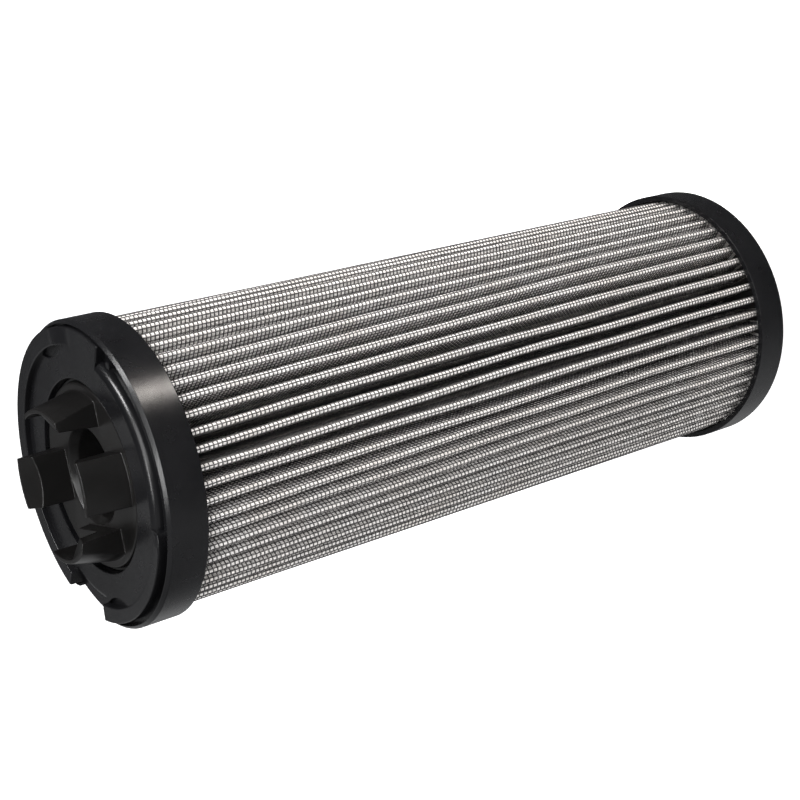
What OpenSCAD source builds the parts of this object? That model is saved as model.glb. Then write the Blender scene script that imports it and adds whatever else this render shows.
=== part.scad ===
// Pleated hydraulic return line filter element, standing on its far end cap.
// Z runs along the element, the clawed near end is up, and +X faces the right-hand notch.

/* [Element] */
// Outer diameter of both end caps
cap_od = 86; // [76:1:100]
// Length from the far face to the rim of the near cap
body_len = 234; // [160:1:300]
// Height of each cap skirt over the pleats
skirt_h = 11.5; // [10:0.5:15]
// Wall of the skirts around the pleats
skirt_wall = 1.7; // [1.2:0.1:2]
// Chamfer on the outer front edge of both caps
cap_chamfer = 0.9; // [0.3:0.1:1]

/* [Pleat pack] */
// Number of pleats
pleat_count = 54; // [44:1:56]
// Clearance from the pleat crests to the skirts
crest_gap = 0.4; // [0.2:0.1:1.5]
// Clear width inside a crest fold
crest_fold = 0.3; // [0.2:0.05:0.6]
// Clear width inside a root fold
root_fold = 0.26; // [0.2:0.02:0.4]
// Clearance from the core tube to the root folds
core_gap = 0.25; // [0.1:0.05:0.5]
// Thickness of the outer support mesh
outer_mesh_t = 0.26; // [0.2:0.02:0.3]
// Thickness of the outer protective fleece
outer_fleece_t = 0.12; // [0.08:0.01:0.16]
// Thickness of the coarse glass fibre layer
coarse_t = 0.14; // [0.1:0.01:0.18]
// Thickness of the fine glass fibre layer
fine_t = 0.18; // [0.12:0.01:0.22]
// Thickness of the inner support fleece
inner_fleece_t = 0.1; // [0.08:0.01:0.14]
// Thickness of the inner support mesh
inner_mesh_t = 0.16; // [0.12:0.02:0.2]
// Thickness of the resin that holds the pleat ends in each cap
resin_t = 3; // [2:0.5:4]

/* [Core tube] */
// Outer diameter of the core tube
core_od = 43; // [41:0.5:46]
// Wall of the core tube
core_wall = 1.6; // [1.2:0.1:1.8]
// Width of the ribs between the windows of the core tube
core_rib_w = 4; // [3:0.5:6]
// Height of the windows in the core tube
core_window_h = 9; // [6:0.5:11]
// Distance between rows of windows
core_row_pitch = 13; // [12:0.5:18]
// Windows in each row
core_row_windows = 8; // [6:2:10]

/* [Near cap] */
// Thickness of the cap under the rim groove
near_web_t = 2.6; // [2:0.1:3.5]
// Width of the outer rim
rim_w = 1.1; // [0.9:0.1:1.3]
// Depth of the groove inside the rim
rim_groove_depth = 2.2; // [1.5:0.1:3]
// Width of the groove between the rim and the lips
rim_groove_w = 0.6; // [0.4:0.1:1]
// Height of the face plate over the rim
plate_proud = 0.5; // [0.2:0.1:0.8]
// Width of the lips around the face plate
lip_w = 4.8; // [3.8:0.1:5.8]
// Rounding of the face plate where it has no lip beside it
plate_round = 2.6; // [1:0.1:2.6]
// Height of the long lip over the rim
lip_proud = 2.2; // [1.5:0.1:3]
// Height of the short lip over the rim beside the gap
short_lip_high = 2.1; // [1.8:0.1:2.6]
// Height of the short lip over the rim at its other end
short_lip_low = 1.3; // [1:0.1:1.7]
// Depth of the two thumb hollows beside the lips
hollow_depth = 1.2; // [0.6:0.1:1.8]
// Width of the slot around the claw ring
seat_gap = 1.2; // [1:0.1:1.6]
// Depth of that hole below the rim
seat_depth = 3; // [2.5:0.1:3.4]
// Wall of the collar that centres the core tube
collar_wall = 2.1; // [1.5:0.1:3]
// Length of both collars that centre the core tube
collar_len = 4.2; // [3:0.2:6]

/* [Claw ring] */
// Outer diameter of the claw ring flange
claw_ring_od = 51.8; // [51:0.1:52.6]
// Wall of the claw ring between its bore and the near collar
sleeve_wall = 5.1; // [4:0.1:7]
// Depth of the claw ring face below the rim
claw_face_drop = 0.2; // [0:0.1:0.6]
// Chamfer at the mouth of the bore, where the claws' inner faces start
bore_chamfer = 1.3; // [0.8:0.1:2]
// Depth of the claws' roots inside the edge of the claw ring
claw_inset = 2.1; // [1.6:0.1:3]
// How far the claws' outer faces lean inwards up to their tips
claw_lean = 2.6; // [1:0.1:3.4]
// How far the claws' inner faces lean outwards up to their tips
claw_inner_lean = 1.2; // [0.4:0.1:1.6]
// Height of the claws over the rim
claw_h = 11.6; // [9:0.1:14]
// Thickness of the claws at their tips, and of the hollow claws' walls
claw_tip_t = 1.2; // [0.9:0.1:1.6]
// Height of the slope inside the claws' tips
claw_slope_h = 4.8; // [3:0.2:6]
// Width of the two plain claws
claw_w = 14.4; // [10:0.2:15]
// Width of the two hollow claws
wide_claw_w = 20; // [17:0.5:21]
// Shift of the hollow claws towards the right-hand notch
wide_claw_shift = 2; // [0:0.5:2.5]
// Width of the hollow claws' solid ends
wide_claw_end = 7.6; // [6:0.2:9]
// Depth of the hollow claws' pockets
claw_pocket = 8.5; // [5:0.5:8.5]
// Depth that the snap ring of the sleeve stands proud
snap_proud = 0.9; // [0.4:0.1:1.2]

/* [Far cap] */
// Thickness of the far cap
far_web_t = 3; // [2.5:0.1:4]
// Wall of the far collar around its bore
far_collar_wall = 3.8; // [3:0.1:5]

/* [Seals] */
// Section of the seal in the far bore
bore_seal_section = 2.4; // [1.8:0.1:2.6]
// How far the far seal stands into its bore
bore_seal_squeeze = 0.5; // [0.3:0.1:0.7]

/* [Hidden] */

$fn = 96;
// Running clearance between pieces that slide together
fit = 0.1;
// Length by which a cutting tool passes a face
over = 1;

cap_r = cap_od / 2;
core_r = core_od / 2;
core_in_r = core_r - core_wall;
skirt_in_r = cap_r - skirt_wall;
collar_r = core_in_r - fit;

// Levels along the element
rim_z = body_len;
groove_z = rim_z - rim_groove_depth;
near_web_z = groove_z - near_web_t;
seat_z = rim_z - seat_depth;
claw_face_z = rim_z - claw_face_drop;
near_resin_z = near_web_z - resin_t;
far_resin_z = far_web_t + resin_t;

// Face plate and lips
lip_r = cap_r - rim_w - rim_groove_w;
plate_r = lip_r - lip_w;
notch_end = 58;
ramp_start = 80;
ramp_end = 95;
long_lip_end = 232;
short_lip_start = 261;
short_lip_end = 339;
hollow_angles = [102, 272];
hollow_r = 11;
hollow_reach = 2.4;
pip_angle = 50;
pip_d = 2.2;

// Hole around the claw ring, and its seal
seat_r = claw_ring_od / 2 + seat_gap;
ring_seal_section = seat_gap - fit;

// Claws
claw_root_r = claw_ring_od / 2 - claw_inset;
claw_tip_r = claw_root_r - claw_lean;
claw_z = rim_z + claw_h;

// Sleeve of the claw ring inside the near collar
collar_bore_r = collar_r - collar_wall;
sleeve_r = collar_bore_r - fit;
near_bore_r = sleeve_r - sleeve_wall;
claw_in_x = near_bore_r + bore_chamfer;
near_collar_z = near_web_z - collar_len;
snap_top = near_collar_z - fit;
snap_h = 1.8;

// Far bore and its seal groove
far_bore_r = collar_r - far_collar_wall;
far_collar_z = far_web_t + collar_len;
seal_groove_r = far_bore_r - bore_seal_squeeze + bore_seal_section;
seal_groove_z = far_web_t + collar_len / 2;

// Media stack, measured from its middle surface, outwards positive
stack_t = outer_mesh_t + outer_fleece_t + coarse_t + fine_t + inner_fleece_t + inner_mesh_t;
layer_edges = [
    stack_t / 2,
    stack_t / 2 - outer_mesh_t,
    stack_t / 2 - outer_mesh_t - outer_fleece_t,
    stack_t / 2 - outer_mesh_t - outer_fleece_t - coarse_t,
    -stack_t / 2 + inner_mesh_t + inner_fleece_t,
    -stack_t / 2 + inner_mesh_t,
    -stack_t / 2
];
crest_r = crest_fold / 2 + stack_t / 2;
root_r = root_fold / 2 + stack_t / 2;
crest_steps = 4;
root_steps = 2;
half_pitch = 180 / pleat_count;
crest_centre = skirt_in_r - crest_gap - crest_r - stack_t / 2;
root_centre = core_r + core_gap + root_r + stack_t / 2;

// Angle of the flank's normal, from the line that touches both folds
fold_dx = root_centre * cos(half_pitch) - crest_centre;
fold_dy = root_centre * sin(half_pitch);
flank_angle = atan2(fold_dy, fold_dx) - acos((crest_r + root_r) / norm([fold_dx, fold_dy]));
seam_pleat = 30;

function turned(p, a) = [p[0] * cos(a) - p[1] * sin(a), p[0] * sin(a) + p[1] * cos(a)];

function arc(centre, r, from, to, steps) =
    [for (i = [0:steps]) let (t = from + (to - from) * i / steps) centre + r * [cos(t), sin(t)]];

// One pleat at angle zero, from its lower flank over the crest to the root fold beyond it
function pleat(d) = concat(
    arc([crest_centre, 0], crest_r + d, -flank_angle, flank_angle, crest_steps),
    arc(turned([root_centre, 0], half_pitch), root_r - d,
        flank_angle + 180, 2 * half_pitch + 180 - flank_angle, root_steps)
);

// The whole pleated line at distance d from the middle of the stack
function pleat_ring(d) =
    [for (k = [0:pleat_count - 1], p = pleat(d)) turned(p, 2 * half_pitch * k)];

module layer(i) {
    translate([0, 0, far_resin_z])
        linear_extrude(near_resin_z - far_resin_z)
            difference() {
                polygon(pleat_ring(layer_edges[i]));
                polygon(pleat_ring(layer_edges[i + 1]));
            }
}

// Flat sector between two angles. Its sides run on past the cap, so that all arcs that end at one
// angle end in one plane.
module sector(from, to) {
    steps = ceil((to - from) / 30);
    polygon(concat([[0, 0]], arc([0, 0], 2 * cap_od, from, to, steps)));
}

module ring_arc(r_in, r_out, z_low, z_high, from, to) {
    translate([0, 0, z_low])
        linear_extrude(z_high - z_low)
            intersection() {
                difference() {
                    circle(r_out);
                    circle(r_in);
                }
                sector(from, to);
            }
}

// Cap body below the rim groove, with the skirt, the collar and the rim, which stops between the lips
module near_shell() {
    difference() {
        rotate_extrude()
            polygon([
                [collar_bore_r, near_collar_z], [collar_r, near_collar_z], [collar_r, near_web_z],
                [skirt_in_r, near_web_z], [skirt_in_r, rim_z - skirt_h], [cap_r, rim_z - skirt_h],
                [cap_r, rim_z - cap_chamfer], [cap_r - cap_chamfer, rim_z], [cap_r - rim_w, rim_z],
                [cap_r - rim_w, groove_z], [seat_r, groove_z], [seat_r, seat_z],
                [collar_bore_r, seat_z]
            ]);
        ring_arc(lip_r + rim_groove_w / 2, cap_r + over, groove_z, rim_z + over,
            long_lip_end, short_lip_start);
    }
}

// Face plate with a rounded edge, as it is where no lip stands beside it
module face_plate() {
    plate_z = rim_z + plate_proud;
    rotate_extrude()
        difference() {
            translate([seat_r, groove_z - over / 2])
                square([plate_r - seat_r, plate_z - groove_z + over / 2]);
            translate([plate_r - plate_round, plate_z - plate_round])
                difference() {
                    square(plate_round + over);
                    circle(plate_round);
                }
        }
}

// Prism with a sloping top that limits a lip, along its own X
module slope(x_low, x_high, z_low, z_high) {
    rotate([90, 0, 0])
        linear_extrude(2 * cap_od, center = true)
            polygon([[x_low, groove_z], [x_high, groove_z], [x_high, z_high], [x_low, z_low]]);
}

module long_lip() {
    inner = plate_r - plate_round - over;
    plate_z = rim_z + plate_proud;
    lip_z = rim_z + lip_proud;
    ring_arc(inner, lip_r, groove_z, plate_z, notch_end, long_lip_end);
    ring_arc(plate_r, lip_r, groove_z, lip_z, ramp_end, long_lip_end);
    reach = lip_r * tan((ramp_end - ramp_start) / 2);
    intersection() {
        ring_arc(plate_r, lip_r, groove_z, lip_z, ramp_start, ramp_end);
        rotate([0, 0, (ramp_start + ramp_end) / 2 - 90])
            slope(-reach, reach, lip_z, plate_z);
    }
}

module short_lip() {
    inner = plate_r - plate_round - over;
    top = rim_z + short_lip_high + over;
    ring_arc(inner, lip_r, groove_z, rim_z + plate_proud, short_lip_start, short_lip_end);
    intersection() {
        ring_arc(plate_r, lip_r, groove_z, top, short_lip_start, short_lip_end);
        slope(-lip_r / 4, lip_r, rim_z + short_lip_high, rim_z + short_lip_low);
    }
}

module near_end_cap() {
    color([0.13, 0.13, 0.14]) {
        difference() {
            union() {
                near_shell();
                face_plate();
                long_lip();
                short_lip();
            }
            for (a = hollow_angles)
                intersection() {
                    rotate([0, 0, a])
                        translate([plate_r - hollow_reach + hollow_r, 0, 0])
                            translate([0, 0, rim_z + plate_proud - hollow_depth])
                                cylinder(r = hollow_r, h = hollow_depth + over);
                    translate([0, 0, groove_z])
                        cylinder(r = plate_r, h = 2 * rim_groove_depth + over);
                }
        }
        rotate([0, 0, pip_angle])
            translate([(plate_r + cap_r - rim_w) / 2, 0, groove_z - over / 2])
                cylinder(d = pip_d, h = rim_groove_depth + over / 2);
    }
}

// Claw at angle zero between two places across it: flat inside, round outside, with a sloping tip
module claw(low, high) {
    root_z = claw_face_z - over;
    intersection() {
        rotate_extrude()
            polygon([
                [near_bore_r, root_z], [claw_root_r, root_z], [claw_root_r, claw_face_z],
                [claw_tip_r, claw_z], [claw_tip_r - claw_tip_t, claw_z],
                [near_bore_r, claw_z - claw_slope_h]
            ]);
        translate([0, high, 0])
            rotate([90, 0, 0])
                linear_extrude(high - low)
                    polygon([
                        [claw_in_x, root_z], [claw_root_r + over, root_z],
                        [claw_root_r + over, claw_z + over], [claw_in_x + claw_inner_lean, claw_z + over]
                    ]);
    }
}

// Hollow claw at angle zero: a wall with a solid end on its right
module wide_claw() {
    low = -wide_claw_w / 2 - wide_claw_shift;
    high = wide_claw_w / 2 - wide_claw_shift;
    difference() {
        claw(low, high);
        intersection() {
            translate([0, 0, claw_z - claw_pocket])
                cylinder(r = claw_tip_r - claw_tip_t, h = claw_pocket + over);
            translate([0, low + wide_claw_end, claw_z - claw_pocket])
                cube([claw_root_r, wide_claw_w, claw_pocket + over]);
        }
    }
}

module claw_ring() {
    snap_bottom = snap_top - snap_h;
    color([0.17, 0.17, 0.18]) {
        rotate_extrude()
            polygon([
                [near_bore_r, snap_bottom], [sleeve_r, snap_bottom],
                [sleeve_r + snap_proud, snap_top], [sleeve_r, snap_top], [sleeve_r, seat_z],
                [claw_ring_od / 2, seat_z], [claw_ring_od / 2, claw_face_z - fit * 4],
                [claw_ring_od / 2 - fit * 4, claw_face_z], [claw_in_x, claw_face_z],
                [near_bore_r, claw_face_z - 2 * bore_chamfer]
            ]);
        for (a = [0, 180])
            rotate([0, 0, a])
                claw(-claw_w / 2, claw_w / 2);
        for (side = [0, 1])
            mirror([0, side, 0])
                rotate([0, 0, 90])
                    wide_claw();
    }
}

module seal(ring_r, section, z) {
    translate([0, 0, z])
        rotate_extrude()
            translate([ring_r, 0])
                circle(section / 2, $fn = 32);
}

module claw_ring_seal() {
    color([0.05, 0.05, 0.05])
        seal(seat_r - seat_gap / 2, ring_seal_section, seat_z + ring_seal_section / 2);
}

module far_end_cap() {
    half_seal = bore_seal_section / 2;
    color([0.13, 0.13, 0.14])
        rotate_extrude()
            polygon([
                [far_bore_r, 0], [cap_r - cap_chamfer, 0], [cap_r, cap_chamfer], [cap_r, skirt_h],
                [skirt_in_r, skirt_h], [skirt_in_r, far_web_t], [collar_r, far_web_t],
                [collar_r, far_collar_z], [far_bore_r, far_collar_z],
                [far_bore_r, seal_groove_z + half_seal], [seal_groove_r, seal_groove_z + half_seal],
                [seal_groove_r, seal_groove_z - half_seal], [far_bore_r, seal_groove_z - half_seal]
            ]);
}

module far_bore_seal() {
    color([0.05, 0.05, 0.05])
        seal(seal_groove_r - bore_seal_section / 2, bore_seal_section, seal_groove_z);
}

module core_tube() {
    core_len = near_web_z - far_web_t;
    rows = floor((core_len - 2 * collar_len - core_row_pitch) / core_row_pitch);
    first = far_web_t + (core_len - rows * core_row_pitch) / 2;
    step = 360 / core_row_windows;
    window_w = 2 * core_r * sin(step / 2) - core_rib_w;
    color([0.3, 0.28, 0.26])
        difference() {
            translate([0, 0, far_web_t])
                cylinder(r = core_r, h = core_len);
            translate([0, 0, far_web_t - over])
                cylinder(r = core_in_r, h = core_len + 2 * over);
            for (row = [0:rows], i = [0:core_row_windows / 2 - 1])
                translate([0, 0, first + row * core_row_pitch])
                    rotate([0, 0, i * step])
                        cube([core_od + 2 * over, window_w, core_window_h], center = true);
        }
}

module outer_support_mesh() {
    color([0.8, 0.8, 0.78])
        layer(0);
}

module outer_fleece() {
    color([0.95, 0.95, 0.92])
        layer(1);
}

module coarse_filter_layer() {
    color([0.93, 0.9, 0.8])
        layer(2);
}

module fine_filter_layer() {
    color([0.97, 0.96, 0.93])
        layer(3);
}

module inner_fleece() {
    color([0.88, 0.9, 0.92])
        layer(4);
}

module inner_support_mesh() {
    color([0.6, 0.62, 0.64])
        layer(5);
}

// Bead of glue in one gap between pleats, where the two ends of the pack are joined
module pleat_seam_bead() {
    d = layer_edges[0] + fit / 10;
    root = turned([root_centre, 0], half_pitch) - (root_r - d) * [cos(flank_angle), sin(flank_angle)];
    crest = [crest_centre, 0] + (crest_r + d) * [cos(flank_angle), sin(flank_angle)];
    low = root + 0.1 * (crest - root);
    high = root + 0.55 * (crest - root);
    flank = [low, high];
    other = [for (p = flank) turned([turned(p, -half_pitch)[0], -turned(p, -half_pitch)[1]], half_pitch)];
    color([0.85, 0.8, 0.6])
        translate([0, 0, far_resin_z])
            linear_extrude(near_resin_z - far_resin_z)
                rotate(seam_pleat * 2 * half_pitch)
                    polygon([flank[0], flank[1], other[1], other[0]]);
}

module near_potting() {
    color([0.55, 0.5, 0.4])
        translate([0, 0, near_resin_z])
            linear_extrude(resin_t)
                difference() {
                    circle(skirt_in_r);
                    circle(core_r);
                }
}

module far_potting() {
    color([0.55, 0.5, 0.4])
        translate([0, 0, far_web_t])
            linear_extrude(resin_t)
                difference() {
                    circle(skirt_in_r);
                    circle(core_r);
                }
}

near_end_cap();
claw_ring();
claw_ring_seal();
far_end_cap();
far_bore_seal();
core_tube();
outer_support_mesh();
outer_fleece();
coarse_filter_layer();
fine_filter_layer();
inner_fleece();
inner_support_mesh();
pleat_seam_bead();
near_potting();
far_potting();
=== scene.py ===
import math

import bmesh
import bpy
import numpy as np
from mathutils import Matrix, Vector


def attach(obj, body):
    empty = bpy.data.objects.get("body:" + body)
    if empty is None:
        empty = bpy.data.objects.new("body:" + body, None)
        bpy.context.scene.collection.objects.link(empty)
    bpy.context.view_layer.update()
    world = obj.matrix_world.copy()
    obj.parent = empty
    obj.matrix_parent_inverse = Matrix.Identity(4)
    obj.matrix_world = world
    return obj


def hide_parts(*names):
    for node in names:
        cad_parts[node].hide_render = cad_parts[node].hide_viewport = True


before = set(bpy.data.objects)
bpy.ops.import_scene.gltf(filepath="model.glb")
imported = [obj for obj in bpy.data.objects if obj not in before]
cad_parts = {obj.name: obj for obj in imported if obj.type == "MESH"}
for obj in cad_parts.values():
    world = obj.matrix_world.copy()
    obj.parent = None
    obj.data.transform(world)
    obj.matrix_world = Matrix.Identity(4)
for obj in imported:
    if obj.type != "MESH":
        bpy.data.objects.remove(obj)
scene = bpy.context.scene
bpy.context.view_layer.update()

# Camera, at the photograph's viewing angle, turned so that the standing element lies across the frame
camera_data = bpy.data.cameras.new("camera")
camera_data.sensor_width = 36
camera_data.lens = 68.83
camera_data.clip_start = 0.01
camera = bpy.data.objects.new("camera", camera_data)
scene.collection.objects.link(camera)
right = Vector((0.57761, -0.18064, -0.79607))
up = Vector((0.0, 0.97521, -0.22129))
back = right.cross(up).normalized()
place = Vector((0.3849, 0.0577, 0.3953))
camera.matrix_world = Matrix((
    (right.x, up.x, back.x, place.x),
    (right.y, up.y, back.y, place.y),
    (right.z, up.z, back.z, place.z),
    (0, 0, 0, 1),
))
scene.camera = camera

# Sizes of the element in millimetres, as the solids have them
MM = 0.001
CAP_R = 43.0
SKIRT_H = 11.5
SKIRT_IN_R = 41.3
CHAMFER = 0.9
RIM_Z = 234.0
RIM_W = 1.1
GROOVE_Z = 231.8
LIP_R = 41.3
PLATE_R = 36.5
PLATE_Z = 234.5
PLATE_ROUND = 2.6
LIP_Z = 236.2
NEAR_WEB_Z = 229.2
SEAT_R = 27.1
SEAT_Z = 231.0
COLLAR_R = 19.8
COLLAR_BORE_R = 17.7
NEAR_COLLAR_Z = 225.0
NOTCH_END = 58.0
RAMP_START = 80.0
RAMP_END = 95.0
LONG_LIP_END = 232.0
SHORT_LIP_START = 261.0
SHORT_LIP_END = 339.0
SHORT_LIP_HIGH = 2.1
SHORT_LIP_LOW = 1.3
SHORT_LIP_RISE = 5.0
SHORT_LIP_DRAW_IN = 1.5
LIP_END_ROUND = 9.0
LIP_END_MARGIN = 3.0
LIP_END_R = 37.4
LIP_EDGE_R = 0.55
LIP_MIDDLE_R = 39.0
RIM_EDGE_R = 0.4
RIM_MIDDLE_R = 42.4
STUD_ANGLE = 50.0
STUD_R = 1.1
STUD_EDGE_R = 0.3
STUD_SINK = 0.3
FAR_WEB_T = 3.0
FAR_BORE_R = 16.0
FAR_COLLAR_Z = 7.2
SEAL_GROOVE_R = 17.9
SEAL_GROOVE_Z = 5.1
SEAL_SECTION = 2.4
PLEATS = 54
PLEAT_R = 40.9
CORE_R = 21.5
PACK_LOW = 6.0
PACK_HIGH = 226.2
WIRE_PITCH = 1.32
JOIN = 0.000002


# Materials

# Depth in the folds from which the wires are drawn on the fleece, and their half width in pitches
DRAWN_FROM = 0.29
DRAWN_HALF_W = 0.13


def shader(name):
    """A new material with its node tree, its principled shader and its coordinates."""
    material = bpy.data.materials.new(name)
    material.use_nodes = True
    nodes = material.node_tree.nodes
    principled = nodes["Principled BSDF"]
    coordinates = nodes.new("ShaderNodeTexCoord")
    return material, nodes, material.node_tree.links, principled, coordinates


def noise(nodes, links, coordinates, scale, detail=4.0, roughness=0.55, stretch=None):
    """A noise texture in object space, stretched along the axes where asked."""
    texture = nodes.new("ShaderNodeTexNoise")
    texture.inputs["Scale"].default_value = scale
    texture.inputs["Detail"].default_value = detail
    texture.inputs["Roughness"].default_value = roughness
    source = coordinates.outputs["Object"]
    if stretch:
        mapping = nodes.new("ShaderNodeMapping")
        mapping.inputs["Scale"].default_value = stretch
        links.new(source, mapping.inputs["Vector"])
        source = mapping.outputs["Vector"]
    links.new(source, texture.inputs["Vector"])
    return texture


def ramp(nodes, links, source, stops):
    """A colour ramp with the stops given as (position, colour)."""
    node = nodes.new("ShaderNodeValToRGB")
    elements = node.color_ramp.elements
    while len(elements) < len(stops):
        elements.new(0.5)
    for element, (position, colour) in zip(elements, stops):
        element.position = position
        element.color = (*colour, 1)
    links.new(source, node.inputs["Fac"])
    return node


def spread(nodes, links, source, low, high):
    """Maps a value from 0 to 1 onto low to high."""
    node = nodes.new("ShaderNodeMapRange")
    node.inputs["To Min"].default_value = low
    node.inputs["To Max"].default_value = high
    links.new(source, node.inputs["Value"])
    return node


def bump(nodes, links, height, distance, strength=1.0, normal=None):
    """A bump on top of the given normal, with its distance in metres."""
    node = nodes.new("ShaderNodeBump")
    node.inputs["Distance"].default_value = distance
    node.inputs["Strength"].default_value = strength
    links.new(height, node.inputs["Height"])
    if normal is not None:
        links.new(normal, node.inputs["Normal"])
    return node


def moulded_plastic(name, dark, light, rough_low, rough_high, specular):
    """Injection-moulded plastic: faint cloudy tone, satin patches and a fine spark-eroded grain."""
    material, nodes, links, principled, coordinates = shader(name)
    cloud = noise(nodes, links, coordinates, 55, 3)
    tone = ramp(nodes, links, cloud.outputs["Fac"], [(0.3, dark), (0.7, light)])
    links.new(tone.outputs["Color"], principled.inputs["Base Color"])
    patches = noise(nodes, links, coordinates, 140, 5, 0.6)
    satin = spread(nodes, links, patches.outputs["Fac"], rough_low, rough_high)
    links.new(satin.outputs["Result"], principled.inputs["Roughness"])
    grain = noise(nodes, links, coordinates, 5200, 2, 0.5)
    swell = noise(nodes, links, coordinates, 90, 2, 0.4)
    fine = bump(nodes, links, grain.outputs["Fac"], 0.00002, 0.5)
    soft = bump(nodes, links, swell.outputs["Fac"], 0.0002, 0.35, fine.outputs["Normal"])
    links.new(soft.outputs["Normal"], principled.inputs["Normal"])
    principled.inputs["Specular IOR Level"].default_value = specular
    return material


def rubber_material():
    material, nodes, links, principled, coordinates = shader("nitrile_rubber")
    cloud = noise(nodes, links, coordinates, 300, 4)
    stops = [(0.3, (0.008, 0.008, 0.008)), (0.7, (0.018, 0.018, 0.018))]
    tone = ramp(nodes, links, cloud.outputs["Fac"], stops)
    links.new(tone.outputs["Color"], principled.inputs["Base Color"])
    satin = spread(nodes, links, cloud.outputs["Fac"], 0.38, 0.6)
    links.new(satin.outputs["Result"], principled.inputs["Roughness"])
    grain = noise(nodes, links, coordinates, 3500, 3)
    fine = bump(nodes, links, grain.outputs["Fac"], 0.00003, 0.4)
    links.new(fine.outputs["Normal"], principled.inputs["Normal"])
    return material


def wire_material():
    """Thin dark coating on steel wire, a little uneven where it has run together at the crossings."""
    material, nodes, links, principled, coordinates = shader("coated_wire")
    cloud = noise(nodes, links, coordinates, 420, 4)
    stops = [(0.3, (0.045, 0.043, 0.042)), (0.72, (0.11, 0.105, 0.102))]
    tone = ramp(nodes, links, cloud.outputs["Fac"], stops)
    links.new(tone.outputs["Color"], principled.inputs["Base Color"])
    satin = spread(nodes, links, cloud.outputs["Fac"], 0.3, 0.55)
    links.new(satin.outputs["Result"], principled.inputs["Roughness"])
    grain = noise(nodes, links, coordinates, 6000, 2)
    fine = bump(nodes, links, grain.outputs["Fac"], 0.00002, 0.4)
    links.new(fine.outputs["Normal"], principled.inputs["Normal"])
    return material


def math_node(nodes, links, operation, a, b=None):
    node = nodes.new("ShaderNodeMath")
    node.operation = operation
    for socket, value in zip(node.inputs, (a, b)):
        if value is None:
            continue
        if isinstance(value, (int, float)):
            socket.default_value = value
        else:
            links.new(value, socket)
    return node.outputs["Value"]


def multiplied(nodes, links, first, second):
    """Multiplies two colours."""
    node = nodes.new("ShaderNodeMix")
    node.data_type = "RGBA"
    node.blend_type = "MULTIPLY"
    node.inputs["Factor"].default_value = 1
    links.new(first, node.inputs["A"])
    links.new(second, node.inputs["B"])
    return node


def fleece_material():
    """Spun white fleece that swells a little between the wires, darkened by painted shade the deeper it lies
    in the folds.
    Deep in the folds, past the modelled wires, the same grid of wires is drawn on it."""
    material, nodes, links, principled, coordinates = shader("pleated_fleece")
    separate = nodes.new("ShaderNodeSeparateXYZ")
    links.new(coordinates.outputs["UV"], separate.inputs["Vector"])
    across = [math_node(nodes, links, "PINGPONG", separate.outputs[axis], 0.5) for axis in ("X", "Y")]
    nearest = math_node(nodes, links, "MINIMUM", across[0], across[1])
    depth = nodes.new("ShaderNodeAttribute")
    depth.attribute_name = "depth"
    deep = math_node(nodes, links, "GREATER_THAN", depth.outputs["Fac"], DRAWN_FROM)
    on_wire = math_node(nodes, links, "LESS_THAN", nearest, DRAWN_HALF_W)
    drawn = math_node(nodes, links, "MULTIPLY", deep, on_wire)
    fibres = noise(nodes, links, coordinates, 1500, 6, 0.7)
    cloud = noise(nodes, links, coordinates, 70, 3)
    white = ramp(nodes, links, fibres.outputs["Fac"], [
        (0.3, (0.6, 0.582, 0.572)),
        (0.62, (0.76, 0.743, 0.733)),
    ])
    warm = ramp(nodes, links, cloud.outputs["Fac"], [(0.3, (0.93, 0.9, 0.87)), (0.7, (1, 1, 1))])
    toned = multiplied(nodes, links, white.outputs["Color"], warm.outputs["Color"])
    # Painted shade: the colour darkens with depth in the folds, from full white at the crests to dark at the
    # roots, where shade falls.
    painted_fold_shade = ramp(nodes, links, depth.outputs["Fac"], [
        (0.16, (1, 1, 1)),
        (0.4, (0.82, 0.8, 0.785)),
        (0.8, (0.22, 0.22, 0.22)),
    ])
    shade_painted_fleece = multiplied(nodes, links, toned.outputs["Result"], painted_fold_shade.outputs["Color"])
    wired = nodes.new("ShaderNodeMix")
    wired.data_type = "RGBA"
    wired.inputs["B"].default_value = (0.04, 0.038, 0.036, 1)
    links.new(drawn, wired.inputs["Factor"])
    links.new(shade_painted_fleece.outputs["Result"], wired.inputs["A"])
    links.new(wired.outputs["Result"], principled.inputs["Base Color"])
    principled.inputs["Roughness"].default_value = 0.85
    principled.inputs["Specular IOR Level"].default_value = 0.2
    principled.inputs["Sheen Weight"].default_value = 0.1
    pillow = math_node(nodes, links, "SINE", math_node(nodes, links, "MULTIPLY", nearest, math.pi))
    swollen = bump(nodes, links, pillow, 0.00035, 0.9)
    fluff = bump(nodes, links, fibres.outputs["Fac"], 0.00006, 0.6, swollen.outputs["Normal"])
    links.new(fluff.outputs["Normal"], principled.inputs["Normal"])
    return material


def layer_material(name, low, high, scale, stretch):
    """Fibrous sheet inside the pack."""
    material, nodes, links, principled, coordinates = shader(name)
    fibres = noise(nodes, links, coordinates, scale, 6, 0.7, stretch)
    tone = ramp(nodes, links, fibres.outputs["Fac"], [(0.3, low), (0.7, high)])
    links.new(tone.outputs["Color"], principled.inputs["Base Color"])
    principled.inputs["Roughness"].default_value = 0.9
    fluff = bump(nodes, links, fibres.outputs["Fac"], 0.00008, 0.7)
    links.new(fluff.outputs["Normal"], principled.inputs["Normal"])
    return material


def resin_material():
    material, nodes, links, principled, coordinates = shader("cast_resin")
    cloud = noise(nodes, links, coordinates, 160, 4)
    stops = [(0.3, (0.012, 0.0115, 0.011)), (0.7, (0.022, 0.021, 0.02))]
    tone = ramp(nodes, links, cloud.outputs["Fac"], stops)
    links.new(tone.outputs["Color"], principled.inputs["Base Color"])
    principled.inputs["Roughness"].default_value = 0.3
    flow = bump(nodes, links, cloud.outputs["Fac"], 0.0004, 0.4)
    links.new(flow.outputs["Normal"], principled.inputs["Normal"])
    return material


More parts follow.
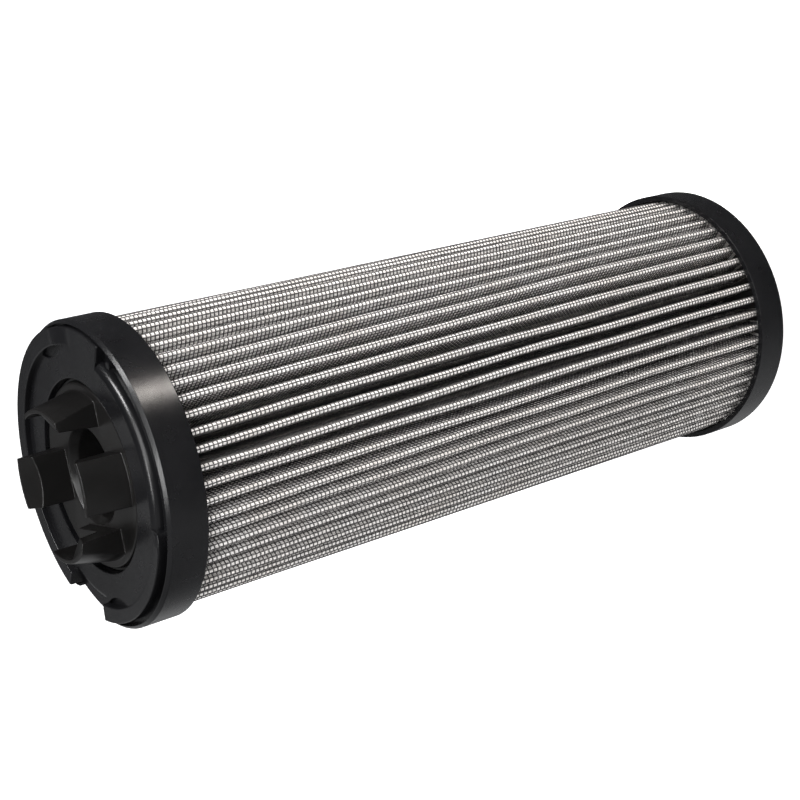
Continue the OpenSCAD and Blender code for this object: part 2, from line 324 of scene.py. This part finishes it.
cap_tones = (0.0037, 0.0037, 0.0042), (0.0064, 0.0064, 0.0071)
claw_tones = (0.0035, 0.0033, 0.0032), (0.0062, 0.0059, 0.0058)
core_tones = (0.06, 0.042, 0.025), (0.085, 0.06, 0.036)
cap_plastic = moulded_plastic("cap_plastic", *cap_tones, 0.2, 0.32, 0.25)
claw_plastic = moulded_plastic("claw_plastic", *claw_tones, 0.24, 0.38, 0.25)
core_plastic = moulded_plastic("core_plastic", *core_tones, 0.4, 0.55, 0.4)
seal_rubber = rubber_material()
coated_wire = wire_material()
pleated_fleece = fleece_material()
coarse_glass = layer_material("coarse_glass_fibre", (0.72, 0.68, 0.56), (0.9, 0.86, 0.74), 900, (1, 1, 0.2))
fine_glass = layer_material("fine_glass_fibre", (0.84, 0.83, 0.8), (0.95, 0.94, 0.92), 1600, (1, 1, 0.4))
inner_white = layer_material("inner_fleece", (0.7, 0.72, 0.74), (0.88, 0.89, 0.9), 1200, (1, 1, 1))
inner_metal = layer_material("inner_wire", (0.12, 0.12, 0.12), (0.36, 0.36, 0.36), 2400, (1, 1, 1))
resin = resin_material()


# Mesh helpers

def add_piece(name, vertices, faces, material, uv=None, depth=None, sharp=35.0, weighted=True):
    """Makes a mesh object from millimetres, rides it on the element and gives it its material."""
    mesh = bpy.data.meshes.new(name)
    mesh.from_pydata((np.asarray(vertices, dtype=float) * MM).tolist(), [], faces)
    if depth is not None:
        attribute = mesh.attributes.new("depth", "FLOAT", "POINT")
        attribute.data.foreach_set("value", np.asarray(depth, dtype=np.float32))
    if uv is not None:
        layer = mesh.uv_layers.new(name="sheet")
        corner = np.empty(len(mesh.loops), dtype=np.int32)
        mesh.loops.foreach_get("vertex_index", corner)
        layer.data.foreach_set("uv", np.asarray(uv, dtype=np.float32)[corner].ravel())
    mesh.shade_smooth()
    if sharp:
        mesh.set_sharp_from_angle(angle=math.radians(sharp))
    piece = bpy.data.objects.new(name, mesh)
    scene.collection.objects.link(piece)
    mesh.materials.append(material)
    if weighted:
        modifier = piece.modifiers.new("weighted", "WEIGHTED_NORMAL")
        modifier.keep_sharp = True
    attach(piece, "root")
    return piece


def tidy(piece, distance=JOIN):
    """Joins points that fall together and turns every face outwards."""
    mesh = piece.data
    work = bmesh.new()
    work.from_mesh(mesh)
    bmesh.ops.remove_doubles(work, verts=work.verts, dist=distance)
    bmesh.ops.dissolve_degenerate(work, edges=work.edges, dist=distance)
    bmesh.ops.recalc_face_normals(work, faces=work.faces)
    work.to_mesh(mesh)
    work.free()
    mesh.shade_smooth()
    mesh.set_sharp_from_angle(angle=math.radians(38))


def rounded(points, radii, steps=3):
    """A closed outline with its corners rounded, always with the same number of points."""
    out = []
    count = len(points)
    for i, (point, radius) in enumerate(zip(points, radii)):
        if not radius:
            out.append(tuple(point))
            continue
        p = np.array(point, dtype=float)
        a = np.array(points[i - 1], dtype=float) - p
        b = np.array(points[(i + 1) % count], dtype=float) - p
        la = float(np.linalg.norm(a))
        lb = float(np.linalg.norm(b))
        if la < 1e-6 or lb < 1e-6:
            out.extend([tuple(p)] * (steps + 1))
            continue
        a /= la
        b /= lb
        half = math.acos(max(-1.0, min(1.0, float(a @ b)))) / 2
        reach = min(radius / max(math.tan(half), 1e-3), 0.45 * la, 0.45 * lb)
        for k in range(steps + 1):
            t = k / steps
            q = p + a * reach * (1 - t) ** 2 + b * reach * t ** 2
            out.append(tuple(q))
    return out


def swept(columns):
    """Faces between closed outlines that stand at rising angles around the axis."""
    vertices = [point for column in columns for point in column]
    width = len(columns[0])
    faces = []
    for i in range(len(columns)):
        j = (i + 1) % len(columns)
        for k in range(width):
            m = (k + 1) % width
            faces.append((i * width + k, j * width + k, j * width + m, i * width + m))
    return vertices, faces


def around(profile, angle):
    """A profile of radii and heights, stood at an angle round the axis."""
    c = math.cos(math.radians(angle))
    s = math.sin(math.radians(angle))
    return [(r * c, r * s, z) for r, z in profile]


def turned_piece(name, points, radii, material, segments=256, steps=3):
    """A turned piece from its outline, with each corner rounded by its radius."""
    profile = rounded(points, radii, steps)
    columns = [around(profile, 360 * i / segments) for i in range(segments)]
    vertices, faces = swept(columns)
    piece = add_piece(name, vertices, faces, material)
    tidy(piece)
    return piece


# Near end cap: the outline changes round the axis, with the lips, the notch and the gap

def within(angle, start, end):
    """Degrees by which an angle lies inside a span, negative outside it."""
    middle = (start + end) / 2
    half = (end - start) / 2
    off = abs((angle - middle + 180) % 360 - 180)
    return half - off


def soft_end(inside, top, foot, radius=LIP_EDGE_R, at=LIP_MIDDLE_R):
    """Height of a wall that ends upright with a rounded top edge."""
    if inside <= 0:
        return foot
    turn = math.degrees(radius / at)
    if inside >= turn:
        return top
    rest = 1 - inside / turn
    return max(foot, top - radius * (1 - math.sqrt(max(0.0, 1 - rest * rest))))


def lip_height(angle):
    """Height of the long or short lip's top, or the groove's floor where there is no lip."""
    long_in = within(angle, NOTCH_END, LONG_LIP_END)
    if long_in > 0:
        if angle < RAMP_START:
            top = PLATE_Z
        elif angle < RAMP_END:
            t = (angle - RAMP_START) / (RAMP_END - RAMP_START)
            top = PLATE_Z + (LIP_Z - PLATE_Z) * t * t * (3 - 2 * t)
        else:
            top = LIP_Z
        return soft_end(long_in, top, GROOVE_Z)
    short_in = within(angle, SHORT_LIP_START, SHORT_LIP_END)
    if short_in > 0:
        x = (PLATE_R + LIP_R) / 2 * math.cos(math.radians(angle))
        fall = (SHORT_LIP_HIGH - SHORT_LIP_LOW) * (x + LIP_R / 4) / (LIP_R * 1.25)
        rise = min(1.0, (SHORT_LIP_END - angle) / SHORT_LIP_RISE)
        top = PLATE_Z + (RIM_Z + SHORT_LIP_HIGH - fall - PLATE_Z) * (0.3 + 0.7 * rise)
        return soft_end(short_in, top, GROOVE_Z)
    return GROOVE_Z


def lip_reach(angle):
    """Outer radius of the lips. The short lip's upper end is rounded in."""
    if not SHORT_LIP_START < angle < SHORT_LIP_END + LIP_END_MARGIN:
        return LIP_R
    along = (angle - SHORT_LIP_START) / (SHORT_LIP_END - SHORT_LIP_START)
    full = LIP_R - SHORT_LIP_DRAW_IN * min(1.0, along * 2)
    t = min(1.0, max(0.0, (SHORT_LIP_END - angle) / LIP_END_ROUND))
    return LIP_END_R + (full - LIP_END_R) * math.sqrt(1 - (1 - t) ** 2)


HOLLOWS = {102.0: 0.7, 272.0: 1.2}
HOLLOW_R = 11.0
HOLLOW_REACH = 2.4


def hollow(angle):
    """Reach and depth of the thumb hollow that cuts the plate at an angle."""
    centre = PLATE_R - HOLLOW_REACH + HOLLOW_R
    for at, deep in HOLLOWS.items():
        off = math.radians((angle - at + 180) % 360 - 180)
        if abs(off) > 0.3:
            continue
        under = HOLLOW_R ** 2 - (centre * math.sin(off)) ** 2
        if under <= 0:
            continue
        edge = centre * math.cos(off) - math.sqrt(under)
        if edge < PLATE_R - 0.02:
            return PLATE_R - edge, deep
    return 0.0, 0.0


def near_cap_profile(angle):
    """The cap's outline at an angle, always with the same number of points."""
    in_gap = within(angle, LONG_LIP_END, SHORT_LIP_START)
    rim = soft_end(-in_gap, RIM_Z, GROOVE_Z, RIM_EDGE_R, RIM_MIDDLE_R)
    lip = lip_height(angle)
    lip_r = lip_reach(angle)
    has_lip = lip > GROOVE_Z
    curve = 0.0 if has_lip else PLATE_ROUND
    reach, drop = hollow(angle)
    if not has_lip:
        drop = 0.0
    edge_z = PLATE_Z - drop if has_lip else PLATE_Z - curve
    points = [
        (COLLAR_BORE_R, NEAR_COLLAR_Z), (COLLAR_R, NEAR_COLLAR_Z), (COLLAR_R, NEAR_WEB_Z),
        (SKIRT_IN_R, NEAR_WEB_Z), (SKIRT_IN_R, RIM_Z - SKIRT_H), (CAP_R, RIM_Z - SKIRT_H),
        (CAP_R, rim - CHAMFER), (CAP_R - CHAMFER, rim), (CAP_R - RIM_W, rim),
        (CAP_R - RIM_W, GROOVE_Z), (lip_r, GROOVE_Z), (lip_r, lip), (PLATE_R, lip), (PLATE_R, edge_z),
    ]
    radii = [0.3, 0.3, 0, 0, 0.25, 0.3, 0.35, 0.2, 0.08, 0, 0, 0.35, 0.4, 0.15]
    for k in range(1, 6):
        t = math.radians(18 * k)
        points.append((PLATE_R - curve + curve * math.cos(t), edge_z + curve * math.sin(t)))
        radii.append(0)
    step = PLATE_R - max(reach, curve, 0.3)
    points += [
        (step, PLATE_Z - drop), (step, PLATE_Z), (SEAT_R, PLATE_Z), (SEAT_R, SEAT_Z), (COLLAR_BORE_R, SEAT_Z),
    ]
    radii += [0.12, 0.3, 0.35, 0.15, 0.3]
    return rounded(points, radii)


def near_cap_angles():
    """Every degree, with closer steps at the ends of the lips and at the hollows."""
    angles = set(np.round(np.arange(0, 360, 1.0), 3))
    steps = (-0.9, -0.6, -0.35, -0.15, -0.02, 0.02, 0.1, 0.22, 0.38, 0.58, 0.8, 1.05)
    for edge, sense in ((NOTCH_END, 1), (LONG_LIP_END, -1), (SHORT_LIP_START, 1), (SHORT_LIP_END, -1)):
        for step in steps:
            angles.add(round((edge + sense * step) % 360, 3))
    for at in HOLLOWS:
        for step in (-9.75, -9.65, -9.5, -9.2, 9.2, 9.5, 9.65, 9.75):
            angles.add(round((at + step) % 360, 3))
    return sorted(angles)


def stud(angle, radius, at, low, high):
    """Small moulded stud in the notch."""
    c = math.cos(math.radians(angle)) * at
    s = math.sin(math.radians(angle)) * at
    bend = 0.3 * STUD_EDGE_R
    profile = [
        (radius, low), (radius, high - STUD_EDGE_R), (radius - bend, high - bend),
        (radius - STUD_EDGE_R, high),
    ]
    vertices = []
    faces = []
    count = 32
    for r, z in profile:
        for i in range(count):
            t = 2 * math.pi * i / count
            vertices.append((c + r * math.cos(t), s + r * math.sin(t), z))
    for row in range(len(profile) - 1):
        for i in range(count):
            j = (i + 1) % count
            low_row = row * count
            high_row = low_row + count
            faces.append((low_row + i, low_row + j, high_row + j, high_row + i))
    faces.append(tuple(range(count - 1, -1, -1)))
    faces.append(tuple(range(len(vertices) - count, len(vertices))))
    return vertices, faces


cap_columns = [around(near_cap_profile(float(a)), float(a)) for a in near_cap_angles()]
cap_vertices, cap_faces = swept(cap_columns)
stud_at = (PLATE_R + CAP_R - RIM_W) / 2
stud_vertices, stud_faces = stud(STUD_ANGLE, STUD_R, stud_at, GROOVE_Z - STUD_SINK, RIM_Z)
offset = len(cap_vertices)
cap_vertices += stud_vertices
cap_faces += [tuple(index + offset for index in face) for face in stud_faces]
near_cap = add_piece("near_cap_moulding", cap_vertices, cap_faces, cap_plastic)
tidy(near_cap)
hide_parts("near_end_cap")


# Claw ring: the solid's own form, with its edges rounded

def rounded_copy(node, name, material, width):
    """A copy of a solid's mesh with its edges rounded."""
    source = bpy.data.objects[node]
    mesh = source.data.copy()
    mesh.transform(source.matrix_world)
    mesh.materials.clear()
    mesh.materials.append(material)
    work = bmesh.new()
    work.from_mesh(mesh)
    bmesh.ops.remove_doubles(work, verts=work.verts, dist=JOIN)
    bmesh.ops.recalc_face_normals(work, faces=work.faces)
    for face in work.faces:
        face.smooth = True
    work.to_mesh(mesh)
    work.free()
    piece = bpy.data.objects.new(name, mesh)
    scene.collection.objects.link(piece)
    bevel = piece.modifiers.new("rounded edges", "BEVEL")
    bevel.width = width * MM
    bevel.segments = 3
    bevel.limit_method = "ANGLE"
    bevel.angle_limit = math.radians(25)
    bevel.use_clamp_overlap = False
    weighted = piece.modifiers.new("weighted", "WEIGHTED_NORMAL")
    weighted.keep_sharp = False
    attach(piece, "root")
    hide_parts(node)
    return piece


rounded_copy("claw_ring", "claw_ring_moulding", claw_plastic, 0.25)


# Far end cap

half_seal = SEAL_SECTION / 2
far_cap = turned_piece(
    "far_cap_moulding",
    [
        (FAR_BORE_R, 0), (CAP_R - CHAMFER, 0), (CAP_R, CHAMFER), (CAP_R, SKIRT_H), (SKIRT_IN_R, SKIRT_H),
        (SKIRT_IN_R, FAR_WEB_T), (COLLAR_R, FAR_WEB_T), (COLLAR_R, FAR_COLLAR_Z), (FAR_BORE_R, FAR_COLLAR_Z),
        (FAR_BORE_R, SEAL_GROOVE_Z + half_seal), (SEAL_GROOVE_R, SEAL_GROOVE_Z + half_seal),
        (SEAL_GROOVE_R, SEAL_GROOVE_Z - half_seal), (FAR_BORE_R, SEAL_GROOVE_Z - half_seal),
    ],
    [0.4, 0.35, 0.35, 0.15, 0.1, 0, 0, 0.3, 0.3, 0.1, 0.1, 0.1, 0.1],
    cap_plastic,
)
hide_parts("far_end_cap")


# Pleat pack: one folded line, twisted and a little uneven along the element, shared by all layers

OUTER_MESH_T = 0.26
OUTER_FLEECE_T = 0.12
COARSE_T = 0.14
FINE_T = 0.18
INNER_FLEECE_T = 0.1
INNER_MESH_T = 0.16
CREST_BEND = 0.15
ROOT_BEND = 0.13
CORE_GAP = 0.25
THICKNESSES = (OUTER_MESH_T, OUTER_FLEECE_T, COARSE_T, FINE_T, INNER_FLEECE_T, INNER_MESH_T)
STACK_T = sum(THICKNESSES)
EDGES = [STACK_T / 2]
for thickness in THICKNESSES:
    EDGES.append(EDGES[-1] - thickness)
CREST_R = CREST_BEND + STACK_T / 2
ROOT_R = ROOT_BEND + STACK_T / 2
HALF_PITCH = math.pi / PLEATS
CREST_C = PLEAT_R - CREST_R - STACK_T / 2
ROOT_C = CORE_R + CORE_GAP + ROOT_R + STACK_T / 2
ROOT_LENGTH = 0.6
fold_dx = ROOT_C * math.cos(HALF_PITCH) - CREST_C
fold_dy = ROOT_C * math.sin(HALF_PITCH)
FLANK = math.atan2(fold_dy, fold_dx) - math.acos((CREST_R + ROOT_R) / math.hypot(fold_dx, fold_dy))

SWAY_LENGTHS = (210.0, 118.0, 67.0)
SWAY_LOW = 4.0
SWAY_HIGH = 226.0
SWAY_FADE = 22.0

rng = np.random.default_rng(7)
sway_size = rng.uniform(0.10, 0.32, (PLEATS, 3))
sway_phase = rng.uniform(0, 2 * math.pi, (PLEATS, 3))
lift = rng.uniform(-0.18, 0.0, PLEATS)


def twist(z):
    """Turn of the whole pack at a height, in radians."""
    s = (RIM_Z - z) / CAP_R
    return np.radians(0.27 + 1.975 * s - 0.15 * s * s)


def sway(k, z):
    """Sideways wander of one crest along the element, in millimetres."""
    held = np.clip((z - SWAY_LOW) / SWAY_FADE, 0, 1) * np.clip((SWAY_HIGH - z) / SWAY_FADE, 0, 1)
    waves = 0
    for j, length in enumerate(SWAY_LENGTHS):
        size = sway_size[k, j] / (1 + 0.7 * j)
        waves = waves + size * np.sin(2 * math.pi * z / length + sway_phase[k, j])
    return waves * held


def pleat_line(d, crest_steps=6, flank_fractions=(0.12, 0.27, 0.5, 0.75), root_steps=3):
    """One pleat at angle zero: its points, its depth from 0 at the crest to 1 at the root, and the length
    along the sheet."""
    crest = []
    for t in np.linspace(-FLANK, FLANK, crest_steps + 1):
        crest.append((CREST_C + (CREST_R + d) * math.cos(t), (CREST_R + d) * math.sin(t)))
    end = np.array(crest[-1])
    centre = np.array([ROOT_C * math.cos(HALF_PITCH), ROOT_C * math.sin(HALF_PITCH)])
    root = []
    for t in np.linspace(FLANK + math.pi, 2 * HALF_PITCH + math.pi - FLANK, root_steps + 1):
        root.append((centre[0] + (ROOT_R - d) * math.cos(t), centre[1] + (ROOT_R - d) * math.sin(t)))
    start = np.array(root[0])
    flank = [tuple(end + (start - end) * f) for f in flank_fractions]
    upper = flank + root
    lower = [(x, -y) for x, y in reversed(flank)]
    points = lower + crest + upper
    depth = list(reversed(flank_fractions)) + [0.0] * len(crest)
    depth += list(flank_fractions) + [1.0] * len(root)
    length = float(np.linalg.norm(start - end))
    # Length along the neutral surface, the same for all layers, with zero on the crest
    half_crest = FLANK * (CREST_R + d)
    u = [-half_crest - f * length for f in reversed(flank_fractions)]
    u += list(np.linspace(-half_crest, half_crest, crest_steps + 1))
    u += [half_crest + f * length for f in flank_fractions]
    u += list(half_crest + length + np.linspace(0, ROOT_LENGTH, root_steps + 1))
    return np.array(points), np.array(depth), np.array(u)


def placed(points, depth, k, z):
    """Points of pleat k at one height, twisted and swayed."""
    held = 1 - np.clip(depth, 0, 1)
    radius = np.hypot(points[:, 0], points[:, 1]) + lift[k] * held
    angle = np.arctan2(points[:, 1], points[:, 0]) + 2 * HALF_PITCH * k + twist(z)
    angle = angle + sway(k, z) * held / PLEAT_R
    return np.stack([radius * np.cos(angle), radius * np.sin(angle), np.full(len(radius), z)], axis=1)


def sheet_piece(name, outer, inner, slot, material, node, levels, **detail):
    """A closed folded sheet between two distances from the middle of the stack. Its UVs count wires."""
    sides = []
    for d in (outer, inner):
        points, depth, u = pleat_line(d, **detail)
        rows = []
        for z in levels:
            rows.append(np.concatenate([placed(points, depth, k, z) for k in range(PLEATS)]))
        sides.append(np.concatenate(rows))
    width = PLEATS * len(points)
    high = len(levels)
    vertices = np.concatenate(sides)
    faces = []
    base = width * high
    for row in range(high - 1):
        for i in range(width):
            j = (i + 1) % width
            a, b = row * width + i, row * width + j
            c, e = (row + 1) * width + j, (row + 1) * width + i
            faces.append((a, b, c, e))
            faces.append((base + a, base + e, base + c, base + b))
    top = (high - 1) * width
    for i in range(width):
        j = (i + 1) % width
        faces.append((i, base + i, base + j, j))
        faces.append((top + i, top + j, base + top + j, base + top + i))
    depths = np.tile(np.tile(depth, PLEATS), high * 2)
    us = np.tile(np.tile(u / WIRE_PITCH, PLEATS), high * 2)
    vs = np.tile(np.repeat(np.array(levels) / WIRE_PITCH, width), 2)
    piece = add_piece(name, vertices, faces, material, uv=np.stack([us, vs], axis=1), depth=depths,
                      sharp=50.0, weighted=False)
    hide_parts(node)
    return piece


FIRST_LEVEL = 12
LAST_LEVEL = 222
visible_levels = [PACK_LOW] + list(np.linspace(FIRST_LEVEL, LAST_LEVEL, 22)) + [PACK_HIGH]
hidden_levels = [PACK_LOW] + list(np.linspace(FIRST_LEVEL, LAST_LEVEL, 11)) + [PACK_HIGH]
hidden_detail = dict(crest_steps=3, flank_fractions=(0.3, 0.7), root_steps=2)
sheet_piece("pleated_fleece", EDGES[1], EDGES[2], "white_fleece", pleated_fleece, "outer_fleece",
            visible_levels)
for i, (name, slot, material, node) in enumerate((
    ("pleated_coarse_layer", "glass_fibre", coarse_glass, "coarse_filter_layer"),
    ("pleated_fine_layer", "glass_fibre", fine_glass, "fine_filter_layer"),
    ("pleated_inner_fleece", "white_fleece", inner_white, "inner_fleece"),
    ("pleated_inner_mesh", "inner_wire", inner_metal, "inner_support_mesh"),
), 2):
    sheet_piece(name, EDGES[i], EDGES[i + 1], slot, material, node, hidden_levels, **hidden_detail)


# Glue bead in one gap between two pleats, which follows their twist

def flank_ends(d):
    """Ends of a flank at a distance from the middle of the stack, at the crest and at the root."""
    slope = np.array([math.cos(FLANK), math.sin(FLANK)])
    crest = np.array([CREST_C, 0]) + (CREST_R + d) * slope
    root = ROOT_C * np.array([math.cos(HALF_PITCH), math.sin(HALF_PITCH)]) - (ROOT_R - d) * slope
    return crest, root


SEAM_PLEAT = 30
BEAD_GAP = 0.02
BEAD_SIDES = 6
bead_crest, bead_root = flank_ends(EDGES[0] + BEAD_GAP)
bead_side = np.array([bead_root + f * (bead_crest - bead_root) for f in (0.1, 0.32, 0.55)])
bead_depth = np.array([0.9, 0.68, 0.45])
bead_vertices = []
bead_faces = []
for z in visible_levels:
    near_side = placed(bead_side, bead_depth, SEAM_PLEAT, z)
    far_side = placed(bead_side * (1, -1), bead_depth, SEAM_PLEAT + 1, z)
    bead_vertices.append(np.concatenate([near_side, far_side[::-1]]))
last_row = len(visible_levels) - 1
for row in range(last_row):
    start = BEAD_SIDES * row
    for i in range(BEAD_SIDES):
        j = (i + 1) % BEAD_SIDES
        bead_faces.append((start + i, start + j, start + BEAD_SIDES + j, start + BEAD_SIDES + i))
bead_faces.append(tuple(range(BEAD_SIDES)))
bead_faces.append(tuple(BEAD_SIDES * last_row + i for i in range(BEAD_SIDES)))
bead = add_piece("twisted_seam_bead", np.concatenate(bead_vertices), bead_faces, resin)
tidy(bead)
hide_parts("pleat_seam_bead")


# Wire mesh: every wire is modelled over the crests and down the flanks as far as light reaches

WIRE_D = (EDGES[0] + EDGES[1]) / 2
WIRE_HALF_W = 0.165
WIRE_OUT = 0.13
WIRE_IN = 0.1
FLANK_REACH = 5.2
MESH_LOW = 9
MESH_HIGH = 225
LENGTHWISE_OVERHANG = 0.4
LENGTHWISE_STEPS = 24

half_crest = FLANK * (CREST_R + WIRE_D)
crest_end, root_start = flank_ends(WIRE_D)
flank_length = float(np.linalg.norm(root_start - crest_end))
flank_dir = (root_start - crest_end) / flank_length


def on_line(u):
    """Point, outward normal and depth at a length along the wire mesh from the middle of the crest."""
    side = 1 if u >= 0 else -1
    along = abs(u)
    if along <= half_crest:
        t = along / (CREST_R + WIRE_D)
        normal = np.array([math.cos(t), side * math.sin(t)])
        point = np.array([CREST_C, 0]) + (CREST_R + WIRE_D) * normal
        return point, normal, 0.0
    run = along - half_crest
    point = crest_end + flank_dir * run
    normal = np.array([math.cos(FLANK), math.sin(FLANK)])
    point = np.array([point[0], side * point[1]])
    normal = np.array([normal[0], side * normal[1]])
    return point, normal, run / flank_length


def wire_path(points, normals, across):
    """Points of a three-sided wire along a path."""
    outer = points + normals * WIRE_OUT
    left = points - normals * WIRE_IN + across * WIRE_HALF_W
    rest = points - normals * WIRE_IN - across * WIRE_HALF_W
    return np.stack([outer, left, rest], axis=1).reshape(-1, 3)


def wire_faces(start, count, turned):
    """Sides and ends of a three-sided wire whose points begin at start."""
    faces = [(start + 2, start + 1, start)]
    for i in range(count - 1):
        a = start + 3 * i
        for m in range(3):
            n = (m + 1) % 3
            faces.append((a + m, a + n, a + 3 + n, a + 3 + m))
    last = start + 3 * (count - 1)
    faces.append((last, last + 1, last + 2))
    return [face[::-1] for face in faces] if turned else faces


def turn_normals(flat, base, moved):
    """Turns flat normals by the same angle that their points were turned by."""
    before = np.arctan2(base[:, 1], base[:, 0])
    after = np.arctan2(moved[:, 1], moved[:, 0])
    turn = after - before
    c = np.cos(turn)
    s = np.sin(turn)
    x = flat[:, 0] * c - flat[:, 1] * s
    y = flat[:, 0] * s + flat[:, 1] * c
    return np.stack([x, y, np.zeros(len(flat))], axis=1)


wire_reach = half_crest + FLANK_REACH
cross_us = [-wire_reach] + list(np.linspace(-half_crest, half_crest, 7)) + [wire_reach]
cross_base, cross_normal, cross_depth = (np.array(part) for part in zip(*(on_line(u) for u in cross_us)))
axial_count = int(wire_reach / WIRE_PITCH)
axial_us = [i * WIRE_PITCH for i in range(-axial_count, axial_count + 1)]
rows = np.arange(round(MESH_LOW / WIRE_PITCH), round(MESH_HIGH / WIRE_PITCH)) * WIRE_PITCH
axial_levels = np.linspace(rows[0] - LENGTHWISE_OVERHANG, rows[-1] + LENGTHWISE_OVERHANG, LENGTHWISE_STEPS)

QUARTERS = 4
for quarter in range(QUARTERS):
    blocks = []
    faces = []
    total = 0
    for k in range(PLEATS * quarter // QUARTERS, PLEATS * (quarter + 1) // QUARTERS):
        for z in rows:
            points = placed(cross_base, cross_depth, k, z)
            normals = turn_normals(cross_normal, cross_base, points)
            block = wire_path(points, normals, np.array([0.0, 0.0, 1.0]))
            blocks.append(block)
            faces += wire_faces(total, len(points), False)
            total += len(block)
        for u in axial_us:
            base, normal, depth = on_line(u)
            columns = np.concatenate([placed(base[None, :], np.array([depth]), k, z) for z in axial_levels])
            flat = np.repeat(normal[None, :], len(columns), axis=0)
            normals = turn_normals(flat, np.repeat(base[None, :], len(columns), axis=0), columns)
            across = np.stack([-normals[:, 1], normals[:, 0], np.zeros(len(columns))], axis=1)
            block = wire_path(columns, normals, across)
            blocks.append(block)
            faces += wire_faces(total, len(columns), True)
            total += len(block)
    piece = add_piece(f"wire_mesh_{quarter + 1}", np.concatenate(blocks), faces, coated_wire,
                      sharp=0, weighted=False)
    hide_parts("outer_support_mesh")


# Nodes that keep their shape get their finish

for node, material in (
    ("core_tube", core_plastic), ("claw_ring_seal", seal_rubber), ("far_bore_seal", seal_rubber),
    ("near_potting", resin), ("far_potting", resin),
):
    slots = bpy.data.objects[node].data.materials
    slots.clear()
    slots.append(material)


# Floor and light

FLOOR_REACH = 50.0
FLOOR_Z = -0.0002
FLOOR_GLOW = 0.9
WALL_R = 8.0
WALL_H = 6.0
WALL_SIDES = 64
WALL_GLOW = 1.2


def glowing_surface(name, points, faces, glow):
    """A pale surface around the object. The black mouldings mirror the dim studio and not this surface."""
    mesh = bpy.data.meshes.new(name)
    mesh.from_pydata(points, [], faces)
    material, _, _, principled, _ = shader(f"pale_{name}")
    principled.inputs["Base Color"].default_value = (0.8, 0.8, 0.8, 1)
    principled.inputs["Emission Color"].default_value = (1, 1, 1, 1)
    principled.inputs["Emission Strength"].default_value = glow
    principled.inputs["Roughness"].default_value = 0.9
    principled.inputs["Specular IOR Level"].default_value = 0.1
    mesh.materials.append(material)
    surface = bpy.data.objects.new(name, mesh)
    surface.visible_glossy = False
    scene.collection.objects.link(surface)
    return surface


corners = ((-1, -1), (1, -1), (1, 1), (-1, 1))
floor_points = [(x * FLOOR_REACH, y * FLOOR_REACH, FLOOR_Z) for x, y in corners]
floor = glowing_surface("floor", floor_points, [(0, 1, 2, 3)], FLOOR_GLOW)

# The wall closes the horizon in low views. Only the camera sees it, so it changes no light
wall_points = []
for i in range(WALL_SIDES):
    turn = 2 * math.pi * i / WALL_SIDES
    for z in (FLOOR_Z, WALL_H):
        wall_points.append((WALL_R * math.cos(turn), WALL_R * math.sin(turn), z))
wall_faces = []
for i in range(WALL_SIDES):
    j = (i + 1) % WALL_SIDES
    wall_faces.append((2 * i, 2 * j, 2 * j + 1, 2 * i + 1))
wall = glowing_surface("wall", wall_points, wall_faces, WALL_GLOW)
wall.visible_diffuse = False
wall.visible_transmission = False
wall.visible_shadow = False

world = bpy.data.worlds.new("studio")
world.use_nodes = True
world_nodes = world.node_tree.nodes
world_links = world.node_tree.links
# A dim room that is paler towards -Y, the side that the photograph's table is on
direction = world_nodes.new("ShaderNodeSeparateXYZ")
world_links.new(world_nodes.new("ShaderNodeTexCoord").outputs["Generated"], direction.inputs["Vector"])
towards = world_nodes.new("ShaderNodeMapRange")
towards.inputs["From Min"].default_value = -1
world_links.new(direction.outputs["Y"], towards.inputs["Value"])
room = ramp(world_nodes, world_links, towards.outputs["Result"], [
    (0.02, (0.16, 0.162, 0.165)),
    (0.17, (0.6, 0.605, 0.61)),
    (0.38, (0.16, 0.162, 0.165)),
    (0.5, (0.07, 0.071, 0.073)),
])
world_links.new(room.outputs["Color"], world_nodes["Background"].inputs["Color"])
scene.world = world


def softbox(name, place, aim, width, height, power, colour=(1, 1, 1)):
    """A rectangular lamp at a place, turned towards a point, with its sizes in metres and power in watts."""
    data = bpy.data.lights.new(name, "AREA")
    data.shape = "RECTANGLE"
    data.size = width
    data.size_y = height
    data.energy = power
    data.color = colour
    light = bpy.data.objects.new(name, data)
    light.location = place
    light.rotation_mode = "QUATERNION"
    light.rotation_quaternion = (Vector(aim) - Vector(place)).to_track_quat("-Z", "Y")
    scene.collection.objects.link(light)
    return light


softbox("key", (0.119, 0.4715, 0.6525), (0.028, 0.022, 0.234), 0.3, 0.1, 5.5)
softbox("front", (0.55, 0.25, 0.8), (0, 0, 0.15), 0.5, 0.5, 5.8)
softbox("face sheen", (-0.45, -0.12, 0.52), (0, -0.01, 0.234), 0.3, 0.06, 0.05)
table = softbox("table", (0.25, -0.6, 0.12), (0, 0, 0.12), 0.5, 0.4, 1.2)
table.visible_glossy = False
softbox("skirt glint", (0.26, 0.36, 0.03), (0.0367, 0.0224, 0.2263), 0.08, 0.08, 0.95, (1, 0.94, 0.88))
softbox("rim glint", (0.302, -0.054, 0.774), (0.042, 0, 0.234), 0.25, 0.08, 1.6)

scene.view_settings.view_transform = "Standard"
